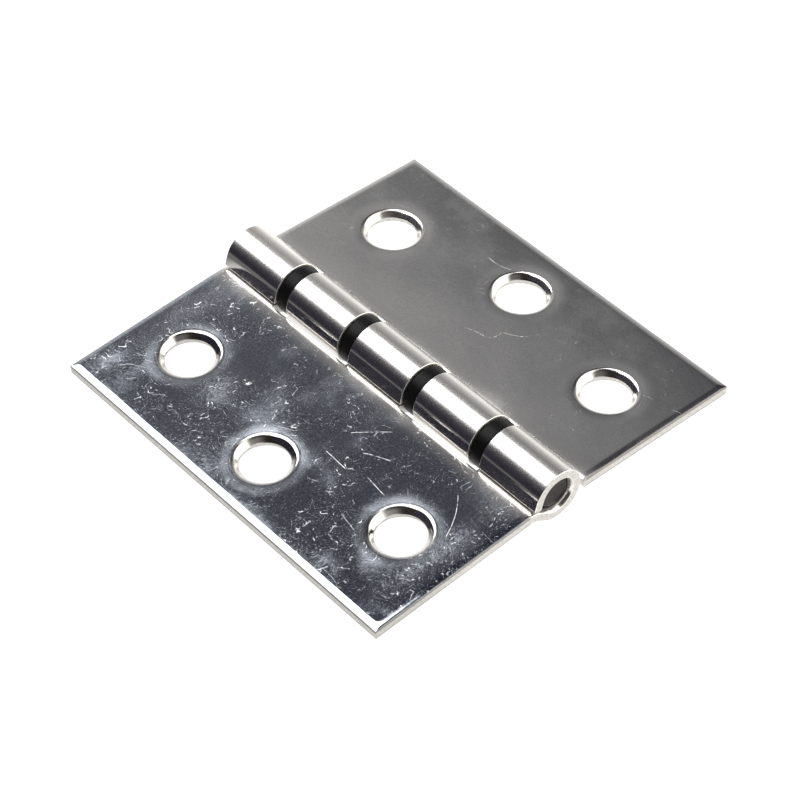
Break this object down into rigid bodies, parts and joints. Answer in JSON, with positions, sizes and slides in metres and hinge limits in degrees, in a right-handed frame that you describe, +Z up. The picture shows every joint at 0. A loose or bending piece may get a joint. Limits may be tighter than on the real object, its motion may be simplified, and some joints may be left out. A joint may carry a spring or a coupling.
{
  "type": "butt hinge",
  "caption": "Butt hinge of polished steel sheet: square leaves with staggered countersunk holes, rolled knuckles on a fixed pin, black washers between the knuckles.",
  "frame": {"origin": "under the middle of the pin, at the barrel's lowest line", "axes": "+Y along the pin, +X towards the right leaf, +Z up, away from the barrel's underside"},
  "size_m": [0.0798, 0.08, 0.0101],
  "materials": {
    "polished_steel": "polished, with fine scratches",
    "pin_steel": "plain drawn steel",
    "black_plastic": "matte"
  },
  "bodies": {
    "fixed_leaf": {"left_leaf": "polished_steel", "hinge_pin": "pin_steel", "washer_1": "black_plastic", "washer_2": "black_plastic", "washer_3": "black_plastic", "washer_4": "black_plastic"},
    "moving_leaf": {"right_leaf": "polished_steel"}
  },
  "joints": [
    {"name": "leaf_swing", "type": "hinge", "parent": "fixed_leaf", "child": "moving_leaf", "pos_m": [0, 0, 0.00505], "axis": [0, -1, 0], "range_deg": [-85, 185]}
  ]
}
